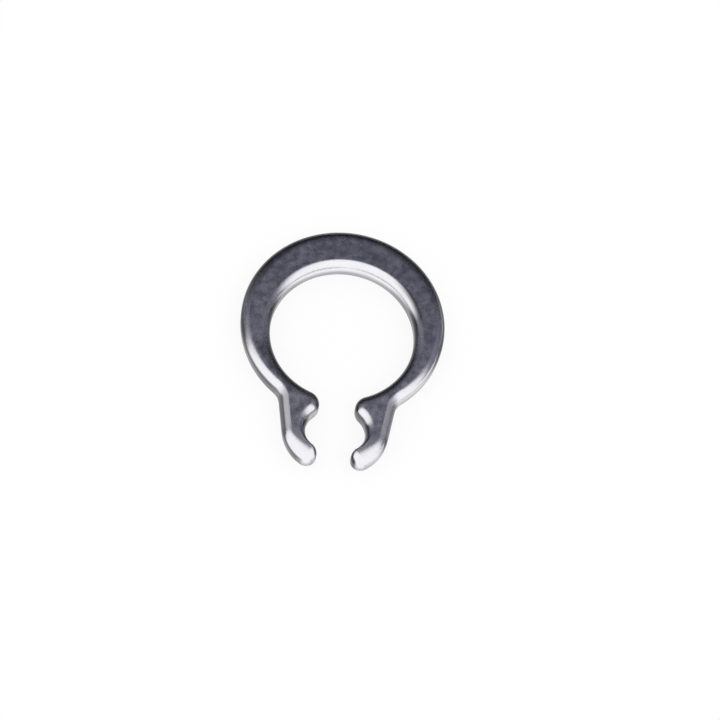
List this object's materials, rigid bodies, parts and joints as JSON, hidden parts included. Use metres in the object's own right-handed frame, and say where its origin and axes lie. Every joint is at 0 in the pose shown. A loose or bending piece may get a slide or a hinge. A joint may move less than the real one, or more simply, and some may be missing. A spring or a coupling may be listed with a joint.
{
  "type": "locking ring",
  "caption": "Open spring steel retaining ring for a grooved shaft, tapering from its back to its ends, each end a lug with a half-round notch for pliers.",
  "frame": {"origin": "on the axis of the bore, in the plane of the lower face that the ring lies on", "axes": "+Z along the bore, out of the upper face; +Y away from the gap; +X to the right, seen from the gap's side"},
  "size_m": [0.008, 0.01, 0.0009],
  "materials": {
    "steel": "tumbled bright, with rounded edges"
  },
  "bodies": {
    "root": {"locking_ring": "steel"}
  },
  "joints": []
}
